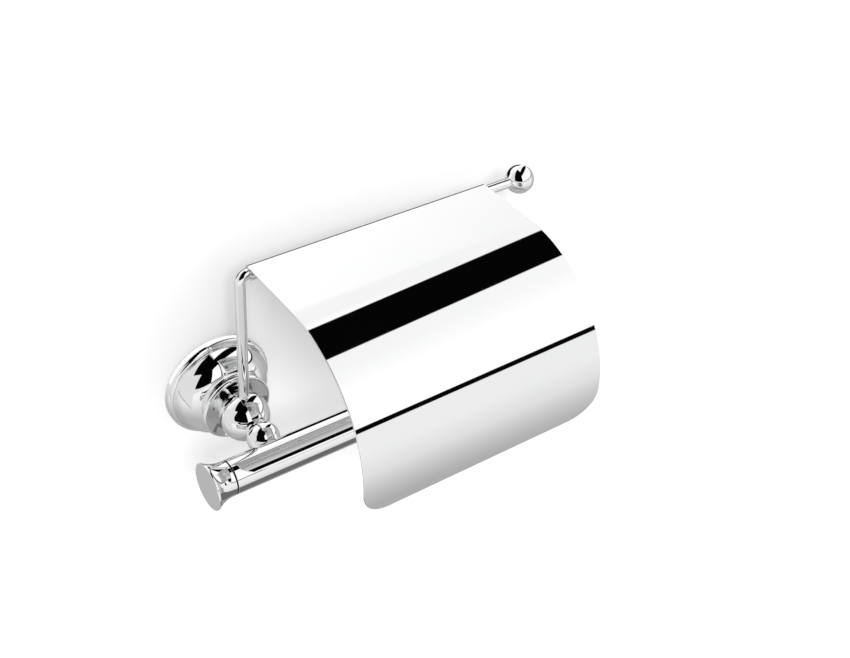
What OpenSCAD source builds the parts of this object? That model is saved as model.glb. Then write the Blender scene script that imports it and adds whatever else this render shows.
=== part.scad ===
// Wall-mounted toilet roll holder with an open-ended roll bar and a hinged splash cover.
// Millimetres. +X runs along the roll bar to its free end, +Y points into the wall, +Z is up.
// The origin is the centre of the rose's back face, on the wall.

/* [Rose] */
// Radius of the rose where it meets the wall
rose_r = 29.2; // [27:0.1:32]
// Radius of the domed part, just inside the rim bead
dome_r = 26.2; // [25:0.1:26.5]
// Distance from the wall to the front of the dome
dome_depth = 18.4; // [18:0.1:19]

/* [Post] */
// Radius of the collar's lip
collar_r = 19.05; // [18:0.05:20]
// Distance of the big ball's centre and of the cover rod from the wall
ball_depth = 30.8; // [30:0.1:32]
// Radius of the big ball
ball_r = 13; // [12.6:0.1:13.4]
// Distance of the neck ball's centre from the wall
neck_depth = 49.7; // [49:0.1:50.5]
// Radius of the neck ball
neck_r = 8.5; // [8:0.1:9]

/* [Roll bar] */
// Distance from the wall to the bar's axis
bar_depth = 65.5; // [64.5:0.1:66.5]
// Outside radius of the bar
bar_r = 9; // [8.5:0.1:9.5]
// Wall of the bar's tube
bar_wall = 1; // [0.8:0.1:1.5]
// Distance from the post to the seam of the left end cap
bar_left = 27.7; // [24:0.1:32]
// Distance from the post to the seam of the right end cap
bar_right = 133; // [110:1:136]
// Length of an end cap outside the tube
cap_len = 12; // [11:0.5:14]
// Radius of an end cap's flared rim
cap_r = 12.3; // [11.5:0.1:13]

/* [Cover rod] */
// Radius of the rod that carries the cover
rod_r = 2.7; // [2.5:0.1:3]
// Height of the rod's level run above the roll bar
rod_z = 88.5; // [84:0.5:94]
// Radius of the bend, at the rod's axis
bend_r = 4.4; // [4:0.1:4.4]
// Distance from the post to the centre of the finial
finial_x = 167.3; // [160:0.1:180]
// Radius of the finial
finial_r = 7.7; // [7:0.1:8.5]

/* [Cover] */
// Distance from the post to the cover's left edge
cover_x0 = 4.5; // [4.5:0.1:8]
// Width of the cover
cover_w = 140; // [120:1:142]
// Thickness of the sheet
sheet_t = 1; // [0.8:0.1:1.2]
// Length of the flat top, from the rod's axis to the start of the curve
flat_len = 38.6; // [36:0.1:40]
// Outside radius of the curved front
curve_r = 64; // [62:0.5:66]
// Angle that the curved front turns through
curve_deg = 104; // [90:1:110]
// Radius of the two bottom corners
corner_r = 16; // [8:0.5:20]

/* [Hidden] */

$fn = 96;
eps = 0.01;
chrome = [0.86, 0.87, 0.88];
steel = [0.62, 0.64, 0.66];
zinc = [0.55, 0.57, 0.58];
brass = [0.78, 0.64, 0.34];

// Wall plate: a thick disc that two countersunk screws hold to the wall.
plate_r = 22;
plate_t = 7;
hole_r = 2.25;
hole_x = 14;
sink_r = 4.4;
sink_depth = 2.2;

// Rose: rim bead, fine step, dome arc and the recess that takes the wall plate.
rim_bead_r = 2.4;
rim_depth = 5.2;
step_w = 0.6;
step_h = 0.7;
dome_arc_r = 13.8;
dome_cx = dome_r - dome_arc_r;
dome_cy = dome_depth - dome_arc_r;
dome_wall = 2.2;
recess_r = plate_r + 0.25;
recess_depth = plate_t + 0.6;

// Rose set screw: M4, up through the rim into the square groove round the plate.
groove_depth = 3.5;
groove_floor_r = 20.9;
set_screw_r = 2;

// Stud that ties the post together: M6.
stud_r = 3;
stud_clear = 0.15;
washer_r = 8;
washer_t = 1.6;
nut_r = 5.77;
nut_t = 5;
washer_depth = dome_depth - dome_wall;
nut_depth = washer_depth - washer_t;
stud_back = nut_depth - nut_t - 1;
stud_front = bar_depth + 4;

// Faces where the balls of the post meet: the plane through the circle that two spheres share.
joint_gap = neck_depth - ball_depth;
joint_depth = ball_depth + (joint_gap * joint_gap + ball_r * ball_r - neck_r * neck_r) / (2 * joint_gap);

// Collar: a small dish with a waist behind it and a bead round its lip.
collar_back = dome_depth;
bead_r = 1.3;
bead_depth = 22.3;
lip_r = collar_r - bead_r;
waist_r = 2.6;
waist_out = 0.6;
dish_floor = 20.6;
dish_r = 9.6;

// Roll bar.
seam_w = 0.6;
seam_drop = 0.5;
spigot_len = 12;
spigot_r = bar_r - bar_wall - 0.03;
insert_len = 24;

// Flare of an end cap: one concave arc that ends behind a thin flat rim.
rim_w = 0.9;
straight_len = 1.5;
flare_len = cap_len - rim_w - straight_len;
flare_arc_r = (flare_len * flare_len + (cap_r - bar_r) * (cap_r - bar_r)) / (2 * (cap_r - bar_r));

// Cover rod and its grub screw.
rod_foot_z = 5;
rod_end_x = finial_x - 3;
grub_r = 1.5;
grub_z = 8.6;
grub_out = sqrt(ball_r * ball_r - grub_z * grub_z) - 0.6;

// Cover hem: the sheet rolled around the rod, with a running clearance.
hem_in = rod_r + 0.06;
hem_out = hem_in + sheet_t;
curl_end_deg = 15;
cover_h = 200;

// Cover curve: its centre, the angle at which drawing stops, a little past the bottom edge, and that edge's height.
curve_cx = ball_depth + flat_len;
curve_cy = rod_z + hem_out - curve_r;
past_deg = 90 - curve_deg - 4;
bottom_z = curve_cy + curve_r * sin(90 - curve_deg);

// Turns a profile of (radius, distance from the wall) about the post's axis.
module turned() rotate([90, 0, 0]) rotate_extrude() children();

// Ball on the post's axis, turned about that axis.
module post_sphere(r, depth)
    turned() intersection() {
        translate([0, depth]) circle(r = r);
        translate([0, depth - r]) square([r, 2 * r]);
    }

// Cylinder along the post's axis between two distances from the wall.
module post_rod(r, from, to) rotate([90, 0, 0]) translate([0, 0, from]) cylinder(r = r, h = to - from);

// Cylinder parallel to the roll bar, between two stations along X.
module bar_rod(r, from, to, depth = bar_depth, z = 0)
    translate([from, -depth, z]) rotate([0, 90, 0]) cylinder(r = r, h = to - from);

module wall_plate() color(zinc)
    difference() {
        post_rod(plate_r, 0, plate_t);
        turned() translate([groove_floor_r, groove_depth - set_screw_r])
            square([plate_r, 2 * set_screw_r]);
        for (x = [-hole_x, hole_x]) translate([x, 0, 0]) {
            post_rod(hole_r, -1, plate_t + 1);
            rotate([90, 0, 0]) translate([0, 0, plate_t - sink_depth])
                cylinder(r1 = hole_r, r2 = sink_r + 0.1, h = sink_depth + 0.1);
        }
    }

// Outline of the rose: a rim bead, a fine step and a dome drawn as one arc.
module rose_outline() {
    square([rose_r, rim_depth - rim_bead_r]);
    translate([rose_r - rim_bead_r, rim_depth - rim_bead_r]) circle(r = rim_bead_r);
    square([rose_r - rim_bead_r, rim_depth]);
    square([dome_r + step_w, rim_depth + step_h]);
    intersection() {
        translate([dome_cx, dome_cy]) circle(r = dome_arc_r);
        translate([0, dome_cy]) square([rose_r, dome_arc_r]);
    }
    square([dome_r, dome_cy + eps]);
    square([dome_cx, dome_depth]);
}

// Hollow of the rose: a recess for the wall plate, then a dome inside the outer one.
module rose_hollow() {
    translate([-eps, -eps]) square([recess_r + eps, recess_depth + eps]);
    translate([-eps, -eps]) square([dome_cx + eps, washer_depth + eps]);
    intersection() {
        translate([dome_cx, dome_cy]) circle(r = dome_arc_r - dome_wall);
        translate([-eps, dome_cy]) square([recess_r, dome_arc_r]);
    }
}

module rose() color(chrome)
    difference() {
        turned() difference() {
            intersection() {
                rose_outline();
                square([2 * rose_r, 2 * dome_depth]);
            }
            rose_hollow();
        }
        post_rod(stud_r + stud_clear, 0, dome_depth + 1);
        translate([0, -groove_depth, -rose_r - 1]) cylinder(r = set_screw_r, h = rose_r + 1 - plate_r + 1);
    }

// Hexagon socket in the end of a set screw, cut along +Z from z = 0.
module hex_socket(across, depth) translate([0, 0, -eps]) cylinder(d = across / cos(30), h = depth, $fn = 6);

module rose_set_screw() color(steel)
    translate([0, -groove_depth, -rose_r + 1]) difference() {
        cylinder(r = set_screw_r, h = rose_r - 1 - groove_floor_r);
        hex_socket(2, 2.5);
    }

module stud_washer() color(steel)
    difference() {
        post_rod(washer_r, nut_depth, washer_depth);
        post_rod(stud_r + stud_clear, nut_depth - 1, washer_depth + 1);
    }

module stud_nut() color(steel)
    difference() {
        rotate([90, 0, 0]) translate([0, 0, nut_depth - nut_t]) cylinder(r = nut_r, h = nut_t, $fn = 6);
        post_rod(stud_r, nut_depth - nut_t - 1, nut_depth + 1);
    }

module post_stud() color(steel) post_rod(stud_r, stud_back, stud_front);

// Outline of the collar: a waist against the dome, a flare and a bead.
module collar_outline() {
    difference() {
        translate([0, collar_back]) square([lip_r, bead_depth - collar_back]);
        translate([lip_r + waist_out, collar_back]) circle(r = waist_r);
    }
    translate([lip_r, bead_depth]) circle(r = bead_r);
    translate([0, bead_depth - 1]) square([lip_r, 1 + bead_r]);
}

module collar() color(chrome)
    difference() {
        turned() collar_outline();
        rotate([90, 0, 0]) translate([0, 0, dish_floor])
            cylinder(r1 = dish_r, r2 = lip_r - 0.2, h = bead_depth + bead_r - dish_floor + eps);
        translate([0, -ball_depth, 0]) sphere(r = ball_r);
        post_rod(stud_r + stud_clear, 0, bead_depth + 2);
    }

module post_ball() color(chrome)
    difference() {
        post_sphere(ball_r, ball_depth);
        post_rod(2 * ball_r, joint_depth, joint_depth + ball_r);
        post_rod(stud_r + stud_clear, ball_depth - ball_r - 1, joint_depth + 1);
        translate([0, -ball_depth, rod_foot_z]) cylinder(r = rod_r, h = ball_r);
        translate([0, -ball_depth, grub_z]) rotate([0, 90, 0]) cylinder(r = grub_r, h = ball_r);
    }

module rod_set_screw() color(steel)
    translate([grub_out, -ball_depth, grub_z]) rotate([0, -90, 0]) difference() {
        cylinder(r = grub_r, h = grub_out - rod_r);
        hex_socket(1.5, 1.8);
    }

module neck() color(chrome)
    difference() {
        post_sphere(neck_r, neck_depth);
        post_rod(2 * neck_r, joint_depth - 2 * neck_r, joint_depth);
        bar_rod(bar_r, -2 * neck_r, 2 * neck_r);
        post_rod(stud_r + stud_clear, joint_depth - 1, bar_depth);
    }

module bar_insert() color(brass)
    difference() {
        bar_rod(spigot_r, -insert_len / 2, insert_len / 2);
        post_rod(stud_r, bar_depth - 2 * bar_r, stud_front);
    }

module bar_tube() color(chrome)
    difference() {
        bar_rod(bar_r, -bar_left + seam_w / 2, bar_right - seam_w / 2);
        bar_rod(bar_r - bar_wall, -bar_left - 1, bar_right + 1);
        post_rod(stud_r + stud_clear, neck_depth, bar_depth);
    }

// Outline of an end cap, from its spigot at height 0 up to the flared rim.
module cap_outline() {
    square([spigot_r, spigot_len + 1]);
    square([bar_r - seam_drop, spigot_len + 1]);
    translate([0, spigot_len + seam_w / 2]) square([bar_r, cap_len - seam_w / 2]);
    translate([0, spigot_len]) difference() {
        translate([0, cap_len - rim_w - flare_len]) square([cap_r, flare_len + rim_w]);
        translate([bar_r + flare_arc_r, cap_len - rim_w - flare_len]) circle(r = flare_arc_r, $fn = 240);
    }
}

module end_cap() color(chrome)
    difference() {
        rotate_extrude() difference() {
            cap_outline();
            translate([spigot_r, -1]) square([bar_r, spigot_len + 1 - seam_w / 2]);
        }
        translate([0, 0, -1]) cylinder(r = spigot_r - 2, h = spigot_len);
    }

module left_end_cap() translate([-bar_left + spigot_len, -bar_depth, 0]) rotate([0, -90, 0]) end_cap();

module right_end_cap() translate([bar_right - spigot_len, -bar_depth, 0]) rotate([0, 90, 0]) end_cap();

module cover_rod() color(chrome) {
    translate([0, -ball_depth, rod_foot_z]) cylinder(r = rod_r, h = rod_z - bend_r - rod_foot_z);
    translate([bend_r, -ball_depth, rod_z - bend_r]) rotate([90, 0, 0])
        rotate([0, 0, 90]) rotate_extrude(angle = 90) translate([bend_r, 0]) circle(r = rod_r);
    bar_rod(rod_r, bend_r, rod_end_x, ball_depth, rod_z);
}

module finial() color(chrome)
    difference() {
        translate([finial_x, -ball_depth, rod_z]) sphere(r = finial_r);
        bar_rod(rod_r, finial_x - 2 * finial_r, rod_end_x, ball_depth, rod_z);
    }

// Section of the cover, drawn with x as the distance from the wall and y as the height.
module cover_section() {
    // hem
    translate([ball_depth, rod_z]) difference() {
        circle(r = hem_out);
        circle(r = hem_in);
        polygon([[0, 0], [0, 2 * hem_out], [2 * hem_out, 2 * hem_out],
                 [2 * hem_out, 2 * hem_out * tan(curl_end_deg)]]);
    }
    // flat top
    translate([ball_depth, rod_z + hem_in]) square([flat_len, sheet_t]);
    // curved front
    translate([curve_cx, curve_cy]) difference() {
        circle(r = curve_r, $fn = 240);
        circle(r = curve_r - sheet_t, $fn = 240);
        polygon([[0, 0], [0, 2 * curve_r], [-2 * curve_r, 2 * curve_r], [-2 * curve_r, -2 * curve_r],
                 [2 * curve_r * cos(past_deg), -2 * curve_r],
                 [2 * curve_r * cos(past_deg), 2 * curve_r * sin(past_deg)]]);
    }
}

// Front view of the cover. It trims the bottom edge level and rounds its two corners.
module cover_front() {
    translate([cover_x0 + corner_r, bottom_z]) square([cover_w - 2 * corner_r, cover_h]);
    translate([cover_x0, bottom_z + corner_r]) square([cover_w, cover_h]);
    for (x = [cover_x0 + corner_r, cover_x0 + cover_w - corner_r])
        translate([x, bottom_z + corner_r]) circle(r = corner_r);
}

module cover() color(chrome)
    intersection() {
        translate([cover_x0, 0, 0]) rotate([90, 0, -90]) mirror([0, 0, 1])
            linear_extrude(cover_w) cover_section();
        rotate([90, 0, 0]) linear_extrude(2 * cover_h) cover_front();
    }

wall_plate();
rose();
rose_set_screw();
stud_washer();
stud_nut();
post_stud();
collar();
post_ball();
rod_set_screw();
neck();
bar_insert();
bar_tube();
left_end_cap();
right_end_cap();
cover_rod();
finial();
cover();
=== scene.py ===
"""Looks of a wall-mounted toilet roll holder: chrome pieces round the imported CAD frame.

Metres, in the CAD frame: +X along the roll bar, +Y into the wall, +Z up, origin on the wall behind the rose.
"""

import math

import bpy
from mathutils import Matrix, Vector


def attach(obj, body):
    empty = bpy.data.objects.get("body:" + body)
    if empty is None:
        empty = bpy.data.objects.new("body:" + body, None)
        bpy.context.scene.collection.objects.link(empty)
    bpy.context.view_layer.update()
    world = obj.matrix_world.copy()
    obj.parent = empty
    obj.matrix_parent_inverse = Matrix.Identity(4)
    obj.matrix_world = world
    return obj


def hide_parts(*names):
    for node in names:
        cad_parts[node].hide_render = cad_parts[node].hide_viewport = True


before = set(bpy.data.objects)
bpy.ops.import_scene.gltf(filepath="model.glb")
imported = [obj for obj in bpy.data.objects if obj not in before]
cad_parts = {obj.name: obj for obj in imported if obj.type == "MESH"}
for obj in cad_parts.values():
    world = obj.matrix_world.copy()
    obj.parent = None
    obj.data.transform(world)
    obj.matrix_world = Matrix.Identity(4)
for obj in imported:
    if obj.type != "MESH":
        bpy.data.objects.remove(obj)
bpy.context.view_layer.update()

MM = 0.001
POST_AXIS = Vector((0, -1, 0))
BAR_AXIS = Vector((1, 0, 0))

# Main sizes, in millimetres. Depth is the distance from the wall.
ROSE_R = 29.2
DOME_DEPTH = 18.4
BALL_DEPTH = 30.8
BALL_R = 13.0
NECK_DEPTH = 49.7
NECK_R = 8.5
JOINT_DEPTH = 42.81
STUD_HOLE_R = 3.15
BAR_DEPTH = 65.5
BAR_R = 9.0
BAR_LEFT = 27.7
BAR_RIGHT = 133.0
BAR_WALL = 1.0
GROOVE_R = BAR_R - 0.7
ROD_R = 2.7
ROD_Z = 88.5
BEND_R = 4.4
FINIAL_X = 167.3
FINIAL_R = 7.7
RUNNING_GAP = 0.02

# The cover's sheet. HEM_R is where the middle of the sheet runs round the rod.
COVER_X0 = 4.5
COVER_X1 = 144.5
SHEET_T = 1.0
SHEET_EDGE_R = 0.35
HEM_R = 3.26
CURL_DEG = 375.0
CURL_LEN = math.radians(CURL_DEG - 90) * HEM_R
FLAT_LEN = 38.6
CURVE_R = 63.5
CURVE_CZ = 28.26
BOTTOM_Z = 12.78
CORNER_R = 16.0

# The studio that mirror surfaces see. Each vector stands square to a plane between two parts of it.
GAP_EDGE = (-0.975, 0.198, -0.10)
CEILING_EDGE = (-0.559, 0.726, 0.402)
WALL_EDGE = (-0.618, 0.786, 0.0)
LEFT_CARD_EDGE = (-0.313, 0.833, -0.457)
HORIZON = (-0.127, 0.162, 0.969)
SOFT = 0.006
BLACK = 0.0015


# ---------------------------------------------------------------- camera

def make_camera():
    """Looks down at the holder from the front left, as a 56 mm lens does from about 0.7 m."""
    data = bpy.data.cameras.new("camera")
    data.sensor_width = 36
    data.lens = 56.44
    data.clip_start = 0.01
    data.clip_end = 50
    camera = bpy.data.objects.new("camera", data)
    camera.location = (-0.23569, -0.47700, 0.46448)
    camera.rotation_euler = [math.radians(a) for a in (51.13624, -3.31277, -35.24596)]
    bpy.context.scene.collection.objects.link(camera)
    bpy.context.scene.camera = camera


# ---------------------------------------------------------------- outlines

def arc(cx, cy, radius, start, end, step=2.0):
    """Points along an arc, with its angles in degrees."""
    count = max(2, round(abs(end - start) / step))
    angles = [math.radians(start + (end - start) * i / count) for i in range(count + 1)]
    return [(cx + radius * math.cos(a), cy + radius * math.sin(a)) for a in angles]


def round_corner(before, corner, after, radius, count=6):
    """The corner's point replaced by a small arc that is tangent to both of its sides."""
    p = Vector(corner)
    a = (Vector(before) - p).normalized()
    b = (Vector(after) - p).normalized()
    half = math.acos(max(-1.0, min(1.0, a.dot(b)))) / 2
    nearly_straight = 0.02
    if math.pi / 2 - half < nearly_straight:
        return [corner]
    centre = p + (a + b).normalized() * (radius / math.sin(half))
    start = p + a * (radius / math.tan(half)) - centre
    end = p + b * (radius / math.tan(half)) - centre
    points = []
    for i in range(count + 1):
        t = i / count
        direction = (start * (1 - t) + end * t).normalized()
        points.append(tuple(centre + direction * radius))
    return points


def soften(corners):
    """A closed outline. A corner given as (x, y, r) is rounded by r, and one given as (x, y) is kept."""
    outline = []
    for i, corner in enumerate(corners):
        if len(corner) == 2:
            outline.append(corner)
            continue
        before = corners[i - 1][:2]
        after = corners[(i + 1) % len(corners)][:2]
        outline += round_corner(before, corner[:2], after, corner[2])
    return outline


# ---------------------------------------------------------------- meshes

def new_piece(name, vertices, faces, normals=None):
    """A smooth mesh object. Normals are one per vertex, where they are known exactly."""
    mesh = bpy.data.meshes.new(name)
    mesh.from_pydata([tuple(v) for v in vertices], [], faces)
    mesh.validate()
    mesh.polygons.foreach_set("use_smooth", [True] * len(mesh.polygons))
    if normals:
        mesh.normals_split_custom_set_from_vertices([tuple(n) for n in normals])
    piece = bpy.data.objects.new(name, mesh)
    bpy.context.scene.collection.objects.link(piece)
    return piece


def outline_normals(outline):
    """Outward normals of a closed outline. The longer of the two sides at a point counts for more."""
    count = len(outline)
    area = 0.0
    sides = []
    for i in range(count):
        x0, y0 = outline[i]
        x1, y1 = outline[(i + 1) % count]
        area += x0 * y1 - x1 * y0
        sides.append((y1 - y0, x0 - x1))
    turn = 1.0 if area > 0 else -1.0
    normals = []
    for i in range(count):
        total = Vector(sides[i - 1]) + Vector(sides[i])
        normals.append(total.normalized() * turn)
    return normals, turn


def lathe(name, outline, centre, axis, segments=180):
    """Turns a closed outline of (radius, height), in millimetres, about an axis through centre."""
    side = Vector((0, 0, 1))
    other = axis.cross(side)
    rim_normals, turn = outline_normals(outline)
    vertices, normals, faces, rings = [], [], [], []
    for (radius, height), normal in zip(outline, rim_normals):
        if radius == 0:
            rings.append([len(vertices)] * segments)
            vertices.append(Vector(centre) + axis * height * MM)
            normals.append(axis * (1 if normal[1] > 0 else -1))
            continue
        rings.append(list(range(len(vertices), len(vertices) + segments)))
        for s in range(segments):
            angle = 2 * math.pi * s / segments
            out = side * math.cos(angle) + other * math.sin(angle)
            vertices.append(Vector(centre) + (out * radius + axis * height) * MM)
            normals.append(out * normal[0] + axis * normal[1])
    for ring, following in zip(rings, rings[1:] + rings[:1]):
        for s in range(segments):
            t = (s + 1) % segments
            corners = [ring[s], ring[t], following[t], following[s]]
            face = tuple(dict.fromkeys(corners))
            if len(face) > 2:
                faces.append(face if turn > 0 else face[::-1])
    return new_piece(name, vertices, faces, normals)


def tube_along(name, path, normals_2d, radius, segments=64):
    """A solid round rod, in millimetres, along a path of (x, z) at the cover rod's depth."""
    vertices, normals, faces = [], [], []
    for (x, z), (nx, nz) in zip(path, normals_2d):
        centre = Vector((x, -BALL_DEPTH, z)) * MM
        for s in range(segments):
            angle = 2 * math.pi * s / segments
            out = Vector((nx, 0, nz)) * math.cos(angle) + Vector((0, 1, 0)) * math.sin(angle)
            vertices.append(centre + out * radius * MM)
            normals.append(out)
    rings = len(path)
    for i in range(rings - 1):
        for s in range(segments):
            t = (s + 1) % segments
            faces.append((i * segments + s, (i + 1) * segments + s, (i + 1) * segments + t, i * segments + t))
    faces.append(tuple(range(segments)))
    faces.append(tuple((rings - 1) * segments + s for s in range(segments))[::-1])
    return new_piece(name, vertices, faces, normals)


def bake(piece):
    """Makes the piece's modifiers part of its mesh."""
    bpy.context.view_layer.update()
    graph = bpy.context.evaluated_depsgraph_get()
    mesh = bpy.data.meshes.new_from_object(piece.evaluated_get(graph))
    piece.modifiers.clear()
    piece.data = mesh


def cut(piece, tool):
    """Takes the tool's shape away from the piece, and the tool out of the scene."""
    modifier = piece.modifiers.new("cut", "BOOLEAN")
    modifier.operation = "DIFFERENCE"
    modifier.solver = "EXACT"
    modifier.object = tool
    bake(piece)
    bpy.data.objects.remove(tool)


def weigh(piece, sharp_deg=32):
    """Keeps edges crisp above an angle and lets large faces decide the normals between them."""
    mesh = piece.data
    mesh.polygons.foreach_set("use_smooth", [True] * len(mesh.polygons))
    mesh.set_sharp_from_angle(angle=math.radians(sharp_deg))
    modifier = piece.modifiers.new("weigh", "WEIGHTED_NORMAL")
    modifier.keep_sharp = True
    modifier.weight = 100


def rod_tool(start, end, radius, segments=96):
    """A cylinder between two points in millimetres, for cutting with."""
    a = Vector(start) * MM
    b = Vector(end) * MM
    axis = (b - a).normalized()
    side = axis.orthogonal().normalized()
    other = axis.cross(side)
    vertices = []
    for point in (a, b):
        for s in range(segments):
            angle = 2 * math.pi * s / segments
            vertices.append(point + (side * math.cos(angle) + other * math.sin(angle)) * radius * MM)
    faces = [tuple(range(segments))[::-1], tuple(range(segments, 2 * segments))]
    for s in range(segments):
        t = (s + 1) % segments
        faces.append((s, t, segments + t, segments + s))
    return new_piece("tool", vertices, faces)


def mount(piece, body, material, slot, *nodes):
    """Gives the piece its finish, its body and the CAD nodes it stands for."""
    piece.data.materials.clear()
    piece.data.materials.append(material)
    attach(piece, body)
    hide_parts(*nodes)
    return piece


# ---------------------------------------------------------------- post

def make_rose():
    """Spun dome with a rim bead, a fine step and a hollow back, and a set-screw hole under its rim."""
    bead_r = 2.4
    bead_x = ROSE_R - bead_r
    bead_depth = 2.8
    step_depth = 5.9
    dome_r = 13.8
    dome_x = 12.4
    dome_depth = DOME_DEPTH - dome_r
    wall = 2.2
    hollow_r = 22.25
    outline = [(ROSE_R - 0.3, 0.0, 0.25), (ROSE_R, 0.4, 0.25)]
    outline += arc(bead_x, bead_depth, bead_r, 0, 88)
    outline += [(bead_x + 0.05, bead_depth + bead_r, 0.04), (bead_x, step_depth, 0.2)]
    outline += [(bead_x - 0.6, step_depth, 0.05)]
    outline += arc(dome_x, dome_depth, dome_r, 6.5, 90)
    outline += [(STUD_HOLE_R, DOME_DEPTH), (STUD_HOLE_R, DOME_DEPTH - wall)]
    outline += arc(dome_x, dome_depth, dome_r - wall, 90, 15)
    outline += [(hollow_r, dome_depth + 3.0, 0.2), (hollow_r, 0.0, 0.3)]
    piece = lathe("rose_dome", soften(outline), (0, 0, 0), POST_AXIS, 240)
    screw_depth = 3.5
    screw_r = 2.0
    cut(piece, rod_tool((0, -screw_depth, -31), (0, -screw_depth, -21.5), screw_r))
    weigh(piece)
    return piece


def make_collar():
    """Small dish with a narrow waist, a beaded lip and a seat for the ball."""
    back = DOME_DEPTH + RUNNING_GAP
    lip_r = 1.3
    lip_depth = 22.3
    waist_r = 2.6
    outline = [(15.78, back)]
    outline += arc(18.35, DOME_DEPTH, waist_r, 178, 101, 3)
    outline += arc(17.75, lip_depth, lip_r, -86, 100, 5)
    outline += [(17.3, 23.45, 0.3)]
    outline += [(14.2, 22.0, 3.0), (9.6, 20.6, 2.0), (8.2, 20.45, 0.2)]
    outline += [(6.0, 19.3), (STUD_HOLE_R, 18.3), (STUD_HOLE_R, back)]
    return lathe("collar_dish", soften(outline), (0, 0, 0), POST_AXIS, 180)


def make_post_ball():
    """Ball cut flat where the neck joins it, bored for the stud, with a set-screw hole at its right."""
    joint = math.degrees(math.asin((JOINT_DEPTH - BALL_DEPTH) / BALL_R))
    hole = math.degrees(math.acos(STUD_HOLE_R / BALL_R))
    outline = arc(0, BALL_DEPTH, BALL_R, -hole, joint, 1.5)
    outline += [(STUD_HOLE_R, JOINT_DEPTH)]
    piece = lathe("post_ball_body", outline, (0, 0, 0), POST_AXIS, 192)
    screw_z = 8.6
    screw_r = 1.5
    cut(piece, rod_tool((2, -BALL_DEPTH, screw_z), (15, -BALL_DEPTH, screw_z), screw_r, 48))
    weigh(piece)
    return piece


def make_neck():
    """Smaller ball between the post's ball and the bar, hollowed to sit on the bar."""
    joint = math.degrees(math.asin((JOINT_DEPTH - NECK_DEPTH) / NECK_R))
    outline = [(STUD_HOLE_R, JOINT_DEPTH)]
    outline += arc(0, NECK_DEPTH, NECK_R, joint, 68, 1.5)
    outline += [(STUD_HOLE_R, NECK_DEPTH + 7.9)]
    piece = lathe("neck_ball", outline, (0, 0, 0), POST_AXIS, 180)
    cut(piece, rod_tool((-20, -BAR_DEPTH, 0), (20, -BAR_DEPTH, 0), BAR_R + 0.01, 256))
    weigh(piece)
    return piece


# ---------------------------------------------------------------- roll bar

def make_bar_tube():
    """Plain tube with softened ends."""
    start = -BAR_LEFT + 0.3
    end = BAR_RIGHT - 0.3
    inner = BAR_R - BAR_WALL
    rings = 12
    outline = [(BAR_R, start, 0.15)]
    outline += [(BAR_R, start + (end - start) * i / rings) for i in range(1, rings)]
    outline += [(BAR_R, end, 0.15), (inner, end, 0.1), (inner, start, 0.1)]
    return lathe("bar_tube_body", soften(outline), (0, -BAR_DEPTH * MM, 0), BAR_AXIS, 192)


def cap_outline():
    """Section of an end cap: height 0 is its seam, and the spigot runs back from it into the tube."""
    spigot_r = 7.97
    bore_r = 5.97
    length = 12.0
    flare_len = 9.6
    rim = 12.3
    arc_r = (flare_len ** 2 + (rim - BAR_R) ** 2) / (2 * (rim - BAR_R))
    sweep = math.degrees(math.asin(flare_len / arc_r))
    outline = [(bore_r, -length, 0.2), (spigot_r, -length, 0.3), (spigot_r, -0.3), (GROOVE_R, -0.3)]
    outline += [(GROOVE_R, 0.45), (BAR_R, 0.45, 0.15)]
    outline += arc(BAR_R + arc_r, 1.5, arc_r, 180, 180 - sweep, 0.5)
    outline += [(rim, length, 0.35)]
    outline += [(rim * k / 6, length) for k in range(5, 0, -1)]
    outline += [(0.0, length), (0.0, length - 3.0), (bore_r, length - 3.0, 0.3)]
    return soften(outline)


def paint_seam_shade(piece, material, seam_x):
    """Gives the floor and walls of the seam groove their own unpolished material, whose near-black colour is
    painted shade.
    """
    piece.data.materials.append(material)
    half_width = 0.46 * MM
    deepest = (GROOVE_R - 0.1) * MM
    shallowest = (BAR_R - 0.07) * MM
    for face in piece.data.polygons:
        x, y, z = face.center
        radius = math.hypot(y + BAR_DEPTH * MM, z)
        if abs(x - seam_x * MM) < half_width and deepest < radius < shallowest:
            face.material_index = 1


def make_left_cap():
    """Flared plug at the bar's free left end."""
    return lathe("left_cap", cap_outline(), (-BAR_LEFT * MM, -BAR_DEPTH * MM, 0), -BAR_AXIS, 192)


def make_right_cap():
    """Flared plug at the bar's far end, the same as the left one."""
    return lathe("right_cap", cap_outline(), (BAR_RIGHT * MM, -BAR_DEPTH * MM, 0), BAR_AXIS, 192)


# ---------------------------------------------------------------- cover rod

def make_cover_rod():
    """Rod that stands in the ball, bends once and runs level over the roll."""
    path = [(0, 5.0), (0, 5.2), (0, 40.0), (0, ROD_Z - BEND_R - 1)]
    normals = [(-1, 0)] * 4
    for i in range(31):
        angle = math.radians(180 - 3 * i)
        direction = (math.cos(angle), math.sin(angle))
        path.append((BEND_R + BEND_R * direction[0], ROD_Z - BEND_R + BEND_R * direction[1]))
        normals.append(direction)
    level = [BEND_R + 1, 40.0, 90.0, 140.0, FINIAL_X - 3.2, FINIAL_X - 3.0]
    path += [(x, ROD_Z) for x in level]
    normals += [(0, 1)] * len(level)
    return tube_along("cover_rod_bar", path, normals, ROD_R)


def make_finial():
    """Ball that closes the rod's free end."""
    bore_r = ROD_R + RUNNING_GAP
    hole = math.degrees(math.acos(bore_r / FINIAL_R))
    outline = arc(0, 0, FINIAL_R, -hole, 88.5, 1.5)
    outline += [(0.0, FINIAL_R), (0.0, -3.0), (bore_r, -3.0)]
    centre = Vector((FINIAL_X, -BALL_DEPTH, ROD_Z)) * MM
    return lathe("finial_ball", outline, centre, BAR_AXIS, 160)


# ---------------------------------------------------------------- cover

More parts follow.
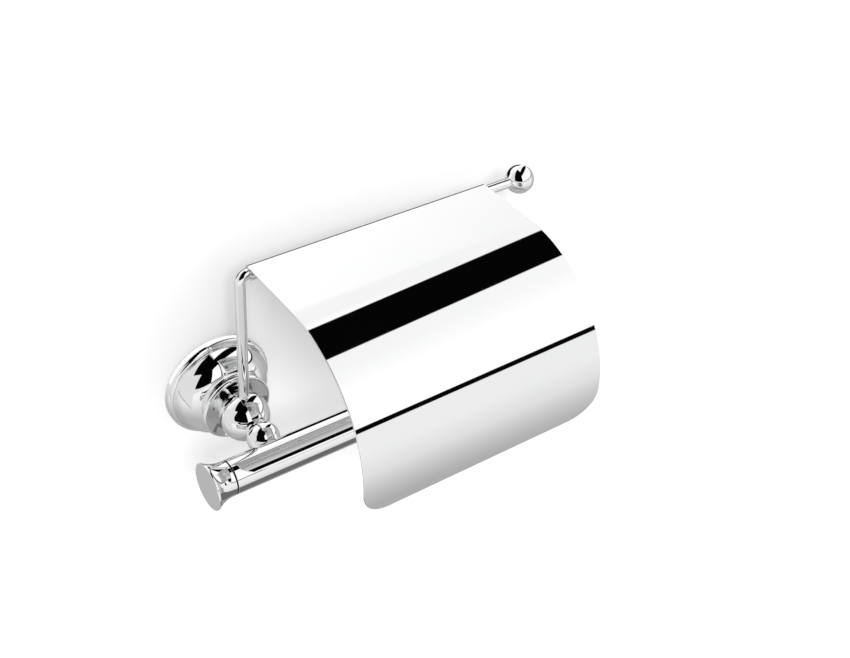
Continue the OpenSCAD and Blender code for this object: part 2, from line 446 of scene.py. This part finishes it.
def cover_point(s):
    """Middle of the sheet at length s along its section: its depth, its height and its outward normal."""
    if s < CURL_LEN:
        angle = math.radians(CURL_DEG) - s / HEM_R
        normal = (math.cos(angle), math.sin(angle))
        return BALL_DEPTH + HEM_R * normal[0], ROD_Z + HEM_R * normal[1], normal
    s -= CURL_LEN
    if s < FLAT_LEN:
        return BALL_DEPTH + s, ROD_Z + HEM_R, (0.0, 1.0)
    angle = math.pi / 2 - (s - FLAT_LEN) / CURVE_R
    normal = (math.cos(angle), math.sin(angle))
    return BALL_DEPTH + FLAT_LEN + CURVE_R * normal[0], CURVE_CZ + CURVE_R * normal[1], normal


def cover_length(z):
    """Length along the section at which the curved front comes down to height z."""
    return CURL_LEN + FLAT_LEN + CURVE_R * (math.pi / 2 - math.asin((z - CURVE_CZ) / CURVE_R))


def cover_end(x, inset):
    """Height of the bottom edge at x, with its rounded corners, for an outline drawn in by inset."""
    radius = CORNER_R - inset
    reach = max(COVER_X0 + CORNER_R - x, x - COVER_X1 + CORNER_R, 0.0)
    rise = radius - math.sqrt(max(0.0, radius * radius - reach * reach))
    return BOTTOM_Z + inset + rise


def cover_columns(inset):
    """Stations along X: close together in the two rounded corners and even between them."""
    radius = CORNER_R - inset
    corner_steps = 30
    middle_steps = 24
    quarter = math.pi / 2
    corner = [radius * (1 - math.cos(quarter * i / corner_steps)) for i in range(corner_steps + 1)]
    left = [COVER_X0 + inset + c for c in corner]
    right = [COVER_X1 - inset - c for c in corner[::-1]]
    gap = right[0] - left[-1]
    middle = [left[-1] + gap * i / middle_steps for i in range(1, middle_steps)]
    return left + middle + right


def cover_rows(inset):
    """Lengths along the section that every column shares, from the curl's end down to the corners."""
    curl_steps, flat_steps, curve_steps = 96, 10, 90
    flat_end = CURL_LEN + FLAT_LEN
    last = cover_length(BOTTOM_Z + CORNER_R) - 0.5
    rows = [inset + (CURL_LEN - inset) * i / curl_steps for i in range(curl_steps + 1)]
    rows += [CURL_LEN + FLAT_LEN * i / flat_steps for i in range(1, flat_steps + 1)]
    rows += [flat_end + (last - flat_end) * i / curve_steps for i in range(1, curve_steps + 1)]
    return rows


def cover_grid(inset):
    """Rows of (x, s) over the sheet. The last rows spread down to the rounded bottom edge."""
    columns = cover_columns(inset)
    rows = cover_rows(inset)
    ends = [cover_length(cover_end(x, inset)) for x in columns]
    grid = [[(x, s) for x in columns] for s in rows]
    spread = 14
    for i in range(1, spread + 1):
        t = i / spread
        grid.append([(x, rows[-1] + (end - rows[-1]) * t) for x, end in zip(columns, ends)])
    return grid


def cover_place(x, s, offset, along=(0.0, 0.0)):
    """A point of the sheet in metres. Offset is along its normal, and along shifts it in x and in s."""
    depth, height, normal = cover_point(s)
    down = Vector((0, -normal[1], -normal[0]))
    centre = Vector((x, -depth, height))
    shift = Vector((1, 0, 0)) * along[0] + down * along[1]
    return (centre + Vector((0, -normal[0], normal[1])) * offset + shift) * MM


def bottom_direction(x, inset):
    """Way out of the sheet at x on its bottom edge, in x and in s: straight down between the corners."""
    radius = CORNER_R - inset
    across = 0.0
    if x < COVER_X0 + CORNER_R:
        across = (x - COVER_X0 - CORNER_R) / radius
    if x > COVER_X1 - CORNER_R:
        across = (x - COVER_X1 + CORNER_R) / radius
    return across, math.sqrt(max(0.0, 1 - across * across))


def cover_border(grid, inset):
    """The grid's border in order, as (row, column, outward direction in x and in s)."""
    last_row = len(grid) - 1
    last_column = len(grid[0]) - 1
    border = [(0, c, (0.0, -1.0)) for c in range(last_column)]
    border += [(r, last_column, (1.0, 0.0)) for r in range(last_row)]
    for c in range(last_column, 0, -1):
        border.append((last_row, c, bottom_direction(grid[0][c][0], inset)))
    border += [(r, 0, (-1.0, 0.0)) for r in range(last_row, 0, -1)]
    return border


def cover_normal(s):
    """Outward normal of the sheet in the frame at length s along its section."""
    normal = cover_point(s)[2]
    return Vector((0, -normal[0], normal[1]))


def edge_point(x, s, out, turn):
    """A point of the rounded cut edge, and its normal. Turn is 90 degrees outside and -90 inside."""
    side = (turn > 0) - (turn < 0)
    push = SHEET_EDGE_R * math.cos(turn)
    rise = (SHEET_T / 2 - SHEET_EDGE_R) * side + SHEET_EDGE_R * math.sin(turn)
    point = cover_place(x, s, rise, (out[0] * push, out[1] * push))
    normal = cover_point(s)[2]
    away = Vector((out[0], -normal[1] * out[1], -normal[0] * out[1]))
    return point, away * math.cos(turn) + cover_normal(s) * math.sin(turn)


def make_cover():
    """Bent sheet with its hem rolled round the rod and its cut edges rounded."""
    half = SHEET_T / 2
    grid = cover_grid(SHEET_EDGE_R)
    columns = len(grid[0])
    flat = [point for row in grid for point in row]
    size = len(flat)
    vertices = [cover_place(x, s, side * half) for side in (1, -1) for x, s in flat]
    normals = [cover_normal(s) * side for side in (1, -1) for x, s in flat]
    faces = []
    for r in range(len(grid) - 1):
        for c in range(columns - 1):
            a = r * columns + c
            face = (a, a + columns, a + columns + 1, a + 1)
            faces.append(face)
            faces.append(tuple(size + i for i in face[::-1]))
    border = cover_border(grid, SHEET_EDGE_R)
    count = len(border)
    outside = [r * columns + c for r, c, out in border]
    rings = [outside]
    edge_steps = 12
    for k in range(1, edge_steps):
        turn = math.radians(90 - 180 * k / edge_steps)
        rings.append(list(range(len(vertices), len(vertices) + count)))
        for r, c, out in border:
            point, normal = edge_point(*grid[r][c], out, turn)
            vertices.append(point)
            normals.append(normal)
    rings.append([size + i for i in outside])
    for upper, lower in zip(rings, rings[1:]):
        for i in range(count):
            j = (i + 1) % count
            faces.append((upper[i], upper[j], lower[j], lower[i]))
    return new_piece("cover_sheet", vertices, faces, normals)


# ---------------------------------------------------------------- material nodes

class Nodes:
    """Short ways to add shader nodes to one tree."""

    def __init__(self, tree):
        self.tree = tree
        tree.nodes.clear()

    def add(self, kind, **settings):
        node = self.tree.nodes.new(kind)
        for name, value in settings.items():
            setattr(node, name, value)
        return node

    def join(self, source, target):
        self.tree.links.new(source, target)

    def math(self, operation, a, b=0.0):
        node = self.add("ShaderNodeMath", operation=operation)
        for socket, value in zip(node.inputs, (a, b)):
            self.feed(socket, value)
        return node.outputs[0]

    def times(self, *values):
        """All the values multiplied together."""
        total = values[0]
        for value in values[1:]:
            total = self.math("MULTIPLY", total, value)
        return total

    def side(self, direction, edge):
        """1 where direction lies on the side of the plane that edge points to, and 0 on the other."""
        return self.ramp(self.dot(direction, edge), -SOFT, SOFT)

    def feed(self, socket, value):
        if isinstance(value, bpy.types.NodeSocket):
            self.join(value, socket)
        else:
            socket.default_value = value

    def dot(self, vector, direction):
        node = self.add("ShaderNodeVectorMath", operation="DOT_PRODUCT")
        self.join(vector, node.inputs[0])
        node.inputs[1].default_value = direction
        return node.outputs["Value"]

    def ramp(self, value, low, high, to_low=0.0, to_high=1.0, smooth=True):
        node = self.add("ShaderNodeMapRange")
        node.interpolation_type = "SMOOTHSTEP" if smooth else "LINEAR"
        self.feed(node.inputs["Value"], value)
        for name, number in (("From Min", low), ("From Max", high), ("To Min", to_low), ("To Max", to_high)):
            self.feed(node.inputs[name], number)
        return node.outputs["Result"]

    def mix(self, factor, a, b):
        """a where factor is 0 and b where it is 1, for plain numbers."""
        node = self.add("ShaderNodeMix")
        self.feed(node.inputs[0], factor)
        self.feed(node.inputs[2], a)
        self.feed(node.inputs[3], b)
        return node.outputs[0]

    def tint(self, factor, a, b):
        """Mix of two colours."""
        node = self.add("ShaderNodeMix", data_type="RGBA")
        self.feed(node.inputs[0], factor)
        self.feed(node.inputs[6], a)
        self.feed(node.inputs[7], b)
        return node.outputs[2]

    def noise(self, scale, detail=3.0, stretch=(1, 1, 1)):
        place = self.add("ShaderNodeTexCoord")
        mapping = self.add("ShaderNodeMapping")
        mapping.inputs["Scale"].default_value = stretch
        self.join(place.outputs["Object"], mapping.inputs["Vector"])
        node = self.add("ShaderNodeTexNoise")
        node.inputs["Scale"].default_value = scale
        node.inputs["Detail"].default_value = detail
        self.join(mapping.outputs["Vector"], node.inputs["Vector"])
        return node.outputs["Fac"]

    def bump(self, height, strength, distance):
        node = self.add("ShaderNodeBump")
        node.inputs["Strength"].default_value = strength
        node.inputs["Distance"].default_value = distance
        self.join(height, node.inputs["Height"])
        return node.outputs["Normal"]


def new_material(name):
    material = bpy.data.materials.new(name)
    material.use_nodes = True
    nodes = Nodes(material.node_tree)
    shader = nodes.add("ShaderNodeBsdfPrincipled")
    output = nodes.add("ShaderNodeOutputMaterial")
    nodes.join(shader.outputs[0], output.inputs["Surface"])
    return material, nodes, shader


def make_chrome(name, haze):
    """Bright chrome plate: a mirror with a faint haze, fine polishing marks and barely uneven plating."""
    material, nodes, shader = new_material(name)
    shader.inputs["Metallic"].default_value = 1.0
    cloud = nodes.noise(38.0, 4.0)
    marks = nodes.noise(900.0, 2.0, (0.06, 1.0, 1.0))
    haze_map = nodes.ramp(cloud, 0.35, 0.75, 0.4 * haze, haze)
    roughness = nodes.math("ADD", haze_map, nodes.ramp(marks, 0.55, 0.8, 0.0, 0.25 * haze))
    nodes.join(roughness, shader.inputs["Roughness"])
    tone = nodes.tint(cloud, (0.90, 0.905, 0.91, 1), (0.93, 0.93, 0.93, 1))
    nodes.join(tone, shader.inputs["Base Color"])
    nodes.join(nodes.bump(nodes.noise(55.0, 2.0), 0.12, 0.00004), shader.inputs["Normal"])
    return material


def make_painted_seam_shade():
    """Unpolished floor of the cap's seam, with painted shade: its near-black colour stands in for the shade
    in the groove.
    """
    material, nodes, shader = new_material("seam_painted_shade")
    shader.inputs["Metallic"].default_value = 0.4
    cloud = nodes.noise(400.0, 3.0)
    nodes.join(nodes.ramp(cloud, 0.3, 0.7, 0.55, 0.8), shader.inputs["Roughness"])
    # Near-black tones: painted shade in the seam groove.
    tone = nodes.tint(cloud, (0.01, 0.01, 0.01, 1), (0.03, 0.03, 0.028, 1))
    nodes.join(tone, shader.inputs["Base Color"])
    return material


def make_steel():
    """Zinc-plated turned steel: fine rings of tool marks and a dull, slightly blue sheen."""
    material, nodes, shader = new_material("plated_steel")
    shader.inputs["Metallic"].default_value = 1.0
    rings = nodes.noise(1400.0, 2.0, (1.0, 0.08, 1.0))
    cloud = nodes.noise(120.0, 4.0)
    nodes.join(nodes.ramp(cloud, 0.3, 0.7, 0.22, 0.42), shader.inputs["Roughness"])
    tone = nodes.tint(cloud, (0.52, 0.55, 0.60, 1), (0.66, 0.67, 0.68, 1))
    nodes.join(tone, shader.inputs["Base Color"])
    nodes.join(nodes.bump(rings, 0.25, 0.00006), shader.inputs["Normal"])
    return material


def make_zinc():
    """Die-cast zinc alloy: matt grey with a fine cast grain and cloudy patches."""
    material, nodes, shader = new_material("cast_zinc")
    shader.inputs["Metallic"].default_value = 0.85
    grain = nodes.noise(1600.0, 3.0)
    cloud = nodes.noise(60.0, 4.0)
    nodes.join(nodes.ramp(grain, 0.3, 0.7, 0.42, 0.62), shader.inputs["Roughness"])
    tone = nodes.tint(cloud, (0.36, 0.37, 0.39, 1), (0.50, 0.51, 0.52, 1))
    nodes.join(tone, shader.inputs["Base Color"])
    nodes.join(nodes.bump(grain, 0.35, 0.00008), shader.inputs["Normal"])
    return material


def make_brass():
    """Turned brass: warm metal with fine rings from the lathe."""
    material, nodes, shader = new_material("turned_brass")
    shader.inputs["Metallic"].default_value = 1.0
    rings = nodes.noise(1300.0, 2.0, (1.0, 0.1, 0.1))
    cloud = nodes.noise(90.0, 3.0)
    nodes.join(nodes.ramp(cloud, 0.3, 0.7, 0.18, 0.34), shader.inputs["Roughness"])
    tone = nodes.tint(cloud, (0.66, 0.46, 0.16, 1), (0.80, 0.60, 0.26, 1))
    nodes.join(tone, shader.inputs["Base Color"])
    nodes.join(nodes.bump(rings, 0.2, 0.00006), shader.inputs["Normal"])
    return material


# ---------------------------------------------------------------- studio

def floor_value(nodes, x, y, z):
    """Pale floor that darkens straight below, towards the wall and at the far right."""
    near = nodes.ramp(z, -0.85, -0.45, 0.45, 0.81, smooth=False)
    far = nodes.ramp(z, -0.45, -0.15, 0.0, 0.11, smooth=False)
    across = nodes.ramp(x, -0.4, 0.4, 1.06, 1.0)
    to_wall = nodes.ramp(y, 0.1, 0.6, 1.0, 0.82)
    far_right = nodes.times(nodes.ramp(x, 0.62, 0.75), nodes.ramp(y, -0.45, -0.1))
    return nodes.times(nodes.math("ADD", near, far), across, to_wall, nodes.mix(far_right, 1.0, 0.6))


def back_value(nodes, direction, x, y, z):
    """White wall at the right and a white card with a low pale strip at the left."""
    card = nodes.math("MAXIMUM", nodes.side(direction, LEFT_CARD_EDGE), nodes.ramp(z, 0.18, 0.16))
    left = nodes.times(card, nodes.ramp(y, 0.35, 0.75, 0.80, 1.1))
    dip = nodes.times(nodes.ramp(y, 0.72, 0.58, 0.0, 0.13), nodes.ramp(y, 0.30, 0.45))
    right = nodes.times(nodes.side(direction, WALL_EDGE), nodes.math("SUBTRACT", 1.12, dip))
    return nodes.mix(nodes.ramp(x, -0.05, 0.05), left, right)


def window_value(nodes, direction, z, past_gap):
    """White window in front, right of a dark gap and under a dark ceiling, a little greyer at both ends."""
    near_top = nodes.ramp(z, 0.90, 0.60, 0.99, 1.12)
    near_floor = nodes.ramp(z, -0.05, 0.30, 1.03, 1.12)
    under_ceiling = nodes.ramp(nodes.dot(direction, CEILING_EDGE), SOFT, -SOFT)
    return nodes.times(past_gap, under_ceiling, nodes.math("MINIMUM", near_top, near_floor))


def studio_value(nodes, direction):
    """Brightness of the studio by direction: white cards round a dark ceiling, over a pale floor.

    A thin dark line runs along the horizon in front, and a dark skirting low on the wall.
    """
    split = nodes.add("ShaderNodeSeparateXYZ")
    nodes.join(direction, split.inputs[0])
    x, y, z = split.outputs
    past_gap = nodes.ramp(nodes.dot(direction, GAP_EDGE), SOFT, -SOFT)
    back = back_value(nodes, direction, x, y, z)
    sky = nodes.math("MAXIMUM", back, window_value(nodes, direction, z, past_gap))
    sky = nodes.math("MAXIMUM", sky, BLACK)

    height = nodes.dot(direction, HORIZON)
    value = nodes.mix(nodes.ramp(height, -0.004, 0.004), floor_value(nodes, x, y, z), sky)
    in_front = nodes.ramp(nodes.dot(direction, WALL_EDGE), SOFT, -SOFT)
    line = nodes.times(nodes.ramp(nodes.math("ABSOLUTE", height), 0.036, 0.028), past_gap, in_front)
    value = nodes.mix(line, value, BLACK)
    low = nodes.times(nodes.ramp(z, -0.20, -0.16), nodes.ramp(z, 0.34, 0.30))
    skirting = nodes.times(low, nodes.ramp(y, 0.72, 0.80))
    return nodes.mix(skirting, value, BLACK)


def make_world():
    """White to the camera, even light on matt surfaces, and the studio of cards in mirror surfaces."""
    world = bpy.data.worlds.new("studio")
    bpy.context.scene.world = world
    world.use_nodes = True
    nodes = Nodes(world.node_tree)
    place = nodes.add("ShaderNodeTexCoord")
    path = nodes.add("ShaderNodeLightPath")
    studio = studio_value(nodes, place.outputs["Generated"])
    daylight = 0.82
    white = 1.0
    mirrored_or_matt = nodes.mix(path.outputs["Is Diffuse Ray"], studio, daylight)
    seen = nodes.mix(path.outputs["Is Camera Ray"], mirrored_or_matt, white)
    background = nodes.add("ShaderNodeBackground")
    nodes.join(seen, background.inputs["Strength"])
    background.inputs["Color"].default_value = (1, 1, 1, 1)
    output = nodes.add("ShaderNodeOutputWorld")
    nodes.join(background.outputs[0], output.inputs["Surface"])


def make_backdrop_material():
    """Matt white paint with a barely visible roller texture, clear when seen from its back."""
    material, nodes, shader = new_material("white_wall")
    shader.inputs["Roughness"].default_value = 0.9
    grain = nodes.noise(220.0, 3.0)
    tone = nodes.tint(grain, (0.90, 0.90, 0.90, 1), (0.92, 0.92, 0.92, 1))
    nodes.join(tone, shader.inputs["Base Color"])
    clear = nodes.add("ShaderNodeBsdfTransparent")
    sides = nodes.add("ShaderNodeMixShader")
    back = nodes.add("ShaderNodeNewGeometry")
    nodes.join(back.outputs["Backfacing"], sides.inputs[0])
    nodes.join(shader.outputs[0], sides.inputs[1])
    nodes.join(clear.outputs[0], sides.inputs[2])
    output = [n for n in nodes.tree.nodes if n.type == "OUTPUT_MATERIAL"][0]
    nodes.join(sides.outputs[0], output.inputs["Surface"])
    return material


def make_backdrop():
    """Wall behind the holder that curves into a floor well below it."""
    top, floor, front, radius, half_width = 2.0, -1.4, -3.0, 0.4, 2.5
    behind_rose = 0.0002
    steps = 24
    section = [(0.0, top), (0.0, floor + radius)]
    for i in range(1, steps + 1):
        angle = math.radians(90 * i / steps)
        section.append((radius * (math.cos(angle) - 1), floor + radius * (1 - math.sin(angle))))
    section.append((front, floor))
    vertices = [(x, y, z) for y, z in section for x in (-half_width, half_width)]
    faces = [(2 * i, 2 * i + 2, 2 * i + 3, 2 * i + 1) for i in range(len(section) - 1)]
    piece = new_piece("backdrop", vertices, faces)
    piece.location = (0, behind_rose, 0)
    piece.data.materials.append(make_backdrop_material())
    piece.visible_glossy = False


def make_glow(name, low, high):
    """Even light grey for a studio card, with faint cloudiness between two levels."""
    material = bpy.data.materials.new(name)
    material.use_nodes = True
    nodes = Nodes(material.node_tree)
    glow = nodes.add("ShaderNodeEmission")
    tone = nodes.tint(nodes.noise(12.0), (low, low, low, 1), (high, high, high, 1))
    nodes.join(tone, glow.inputs["Color"])
    output = nodes.add("ShaderNodeOutputMaterial")
    nodes.join(glow.outputs[0], output.inputs["Surface"])
    return material


def make_studio_card(name, corners, low, high):
    """A flat card that only mirror surfaces see, with a glow between two levels."""
    card = new_piece(name, corners, [tuple(range(len(corners)))])
    card.data.materials.append(make_glow(name, low, high))
    card.visible_camera = False
    card.visible_diffuse = False
    card.visible_shadow = False


def make_low_cards():
    """Grey cards under the bar, the front one darker, and one at the right that faces the wall."""
    left, right, height = -0.02, 0.085, -0.05
    for name, front, back, low, high in (
        ("grey_card", -0.136, -0.075, 0.14, 0.17),
        ("low_wall_card", -0.075, -0.02, 0.33, 0.38),
    ):
        corners = [(left, front), (right, front), (right, back), (left, back)]
        make_studio_card(name, [(x, y, height) for x, y in corners], low, high)
    near, far, top, bottom, front = 0.08, 0.2, -0.01, -0.09, -0.131
    corners = [(near, top), (far, top), (far, bottom), (near, bottom)]
    make_studio_card("side_card", [(x, front, z) for x, z in corners], 0.30, 0.36)


def make_pale_card():
    """Pale card left of the rose, with a dark strip along its lower edge."""
    x = -0.067
    strip = 0.0015
    lower = [(0.03, 0.004), (-0.015, -0.009), (-0.034, -0.022), (-0.045, -0.031)]
    upper = [(-0.045, 0.083), (-0.009, 0.0575), (0.03, 0.038)]
    under = [(y, z - strip) for y, z in lower[::-1]]
    make_studio_card("pale_card", [(x, y, z) for y, z in lower + upper], 0.78, 0.82)
    make_studio_card("dark_edge", [(x, y, z) for y, z in lower + under], 0.001, 0.002)


def make_sun(name, azimuth_deg, elevation_deg, spread_deg, energy):
    """A soft light from one direction. Azimuth 0 is the front and positive is to the right."""
    data = bpy.data.lights.new(name, "SUN")
    data.angle = math.radians(spread_deg)
    data.energy = energy
    sun = bpy.data.objects.new(name, data)
    azimuth, elevation = math.radians(azimuth_deg), math.radians(elevation_deg)
    away = Vector((
        math.sin(azimuth) * math.cos(elevation),
        -math.cos(azimuth) * math.cos(elevation),
        math.sin(elevation),
    ))
    sun.rotation_euler = away.to_track_quat("Z", "Y").to_euler()
    sun.location = away
    sun.visible_glossy = False
    bpy.context.scene.collection.objects.link(sun)


def make_lights():
    """A key light from the front left and above, and a much weaker, wider one from the front right."""
    make_sun("key", -23, 37, 18, 1.4)
    make_sun("fill", 20, 25, 40, 0.15)


# ---------------------------------------------------------------- build

def paint_node(name, material):
    """Gives a CAD node that stays in the model its finish and softly broken edges."""
    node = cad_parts[name]
    node.data.materials.clear()
    node.data.materials.append(material)
    bevel = node.modifiers.new("edges", "BEVEL")
    bevel.width = 0.0002
    bevel.segments = 2
    bevel.limit_method = "ANGLE"
    bevel.angle_limit = math.radians(40)
    bevel.harden_normals = True


def build():
    bpy.context.scene.view_settings.view_transform = "Standard"
    chrome = make_chrome("chrome_plate", 0.03)
    cover_chrome = make_chrome("cover_chrome_plate", 0.035)
    steel = make_steel()
    mount(make_rose(), "holder", chrome, "chrome", "rose")
    mount(make_collar(), "holder", chrome, "chrome", "collar")
    mount(make_post_ball(), "holder", chrome, "chrome", "post_ball")
    mount(make_neck(), "holder", chrome, "chrome", "neck")
    mount(make_bar_tube(), "holder", chrome, "chrome", "bar_tube")
    # The seam material paints shade into the groove at each cap's seam.
    seam = make_painted_seam_shade()
    left_cap = mount(make_left_cap(), "holder", chrome, "chrome", "left_end_cap")
    paint_seam_shade(left_cap, seam, -BAR_LEFT)
    right_cap = mount(make_right_cap(), "holder", chrome, "chrome", "right_end_cap")
    paint_seam_shade(right_cap, seam, BAR_RIGHT)
    mount(make_cover_rod(), "holder", chrome, "chrome", "cover_rod")
    mount(make_finial(), "holder", chrome, "chrome", "finial")
    mount(make_cover(), "cover", cover_chrome, "cover_chrome", "cover")
    for name in ("rose_set_screw", "stud_washer", "stud_nut", "post_stud", "rod_set_screw"):
        paint_node(name, steel)
    paint_node("wall_plate", make_zinc())
    paint_node("bar_insert", make_brass())


make_camera()
build()
make_world()
make_backdrop()
make_low_cards()
make_pale_card()
make_lights()
